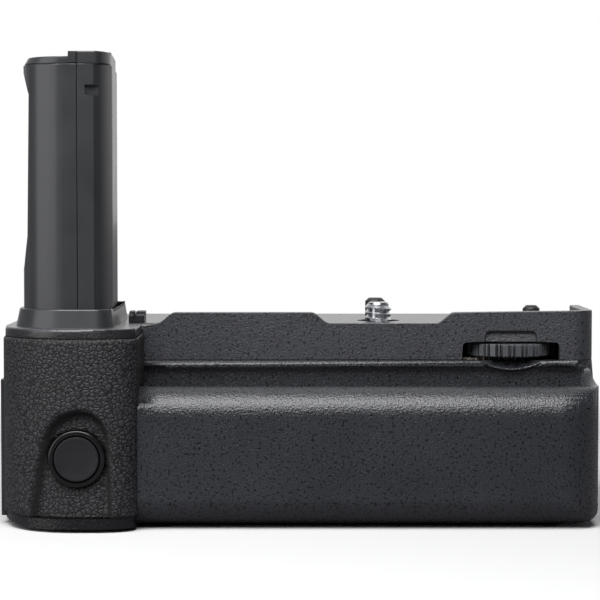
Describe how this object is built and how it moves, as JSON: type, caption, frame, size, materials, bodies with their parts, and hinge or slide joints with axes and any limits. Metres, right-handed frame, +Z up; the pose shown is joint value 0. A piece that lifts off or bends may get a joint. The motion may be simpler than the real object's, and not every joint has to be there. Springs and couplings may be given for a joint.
{
  "type": "camera battery grip",
  "caption": "Vertical battery grip for a camera: hollow case with leather-grain hand grip, shutter button, battery-shaped tower, camera screw turned by a geared thumb wheel, and a battery tray.",
  "frame": {"origin": "the camera screw's axis where it passes the deck's top face", "axes": "+X towards the right end, +Y towards the back, +Z up out of the deck along the camera screw"},
  "size_m": [0.1372, 0.0665, 0.1078],
  "materials": {
    "case_paint": "fine textured paint, speckled",
    "grip_rubber": "leather grain",
    "pad_rubber": "matte",
    "tower_plastic": "satin moulded",
    "trim_plastic": "satin moulded",
    "inner_plastic": "matte moulded",
    "gear_plastic": "acetal",
    "chrome": "bright plated",
    "steel": "turned",
    "brass": "turned",
    "board": "solder mask"
  },
  "bodies": {
    "grip_body": {"upper_case": "case_paint", "lower_case": "case_paint", "battery_chamber": "inner_plastic", "grip_rubber": "grip_rubber", "thumb_rubber": "grip_rubber", "base_pad": "pad_rubber", "tower_collar": "tower_plastic", "tower_left_shell": "tower_plastic", "tower_right_shell": "tower_plastic", "tower_cap": "tower_plastic", "tower_board": "board", "tower_contacts": "brass", "tower_screws": "steel", "wheel_axle": "steel", "idler_axles": "steel", "screw_bush": "brass", "gear_frame": "steel", "frame_screws": "steel", "index_pin_rear": "trim_plastic", "index_pin_right": "trim_plastic", "door_clip": "trim_plastic", "shutter_ring": "trim_plastic", "shutter_switch": "steel", "shutter_board": "board", "shutter_screws": "steel", "chamber_contacts": "brass", "main_board": "board", "board_screws": "steel", "tripod_bush": "steel", "case_screws": "steel"},
    "lock_wheel": {"lock_wheel": "tower_plastic"},
    "near_idler": {"idler_gear_near": "gear_plastic"},
    "far_idler": {"idler_gear_far": "gear_plastic"},
    "camera_screw": {"camera_screw": "chrome", "screw_gear": "brass"},
    "shutter_button": {"shutter_button": "trim_plastic"},
    "battery_tray": {"battery_tray": "inner_plastic", "tray_door": "trim_plastic", "door_screws": "steel", "tray_contacts": "brass"},
    "latch": {"latch_knob": "tower_plastic", "latch_tongue": "steel"}
  },
  "joints": [
    {"name": "wheel_turn", "type": "hinge", "parent": "grip_body", "child": "lock_wheel", "pos_m": [0.03054, -0.0047, -0.0095], "axis": [0, 0, 1], "continuous": true},
    {"name": "near_idler_turn", "type": "hinge", "parent": "grip_body", "child": "near_idler", "pos_m": [0.02165, -0.00333, -0.0095], "axis": [0, 0, 1], "continuous": true},
    {"name": "far_idler_turn", "type": "hinge", "parent": "grip_body", "child": "far_idler", "pos_m": [0.01097, -0.00169, -0.0095], "axis": [0, 0, 1], "continuous": true},
    {"name": "screw_turn", "type": "hinge", "parent": "grip_body", "child": "camera_screw", "pos_m": [0, 0, -0.0095], "axis": [0, 0, 1], "continuous": true},
    {"name": "shutter_press", "type": "slide", "parent": "grip_body", "child": "shutter_button", "axis": [0, 1, 0], "range_m": [0, 0.0012], "stiffness_N_per_m": 800},
    {"name": "tray_slide", "type": "slide", "parent": "grip_body", "child": "battery_tray", "axis": [-1, 0, 0], "range_m": [0, 0.125]},
    {"name": "latch_turn", "type": "hinge", "parent": "battery_tray", "child": "latch", "pos_m": [-0.085, 0.0015, -0.0275], "axis": [1, 0, 0], "range_deg": [0, 90]}
  ],
  "couplings": [
    {"joint": "near_idler_turn", "follows": "wheel_turn", "ratio": -0.66667},
    {"joint": "far_idler_turn", "follows": "wheel_turn", "ratio": 0.66667},
    {"joint": "screw_turn", "follows": "wheel_turn", "ratio": -0.63158}
  ]
}
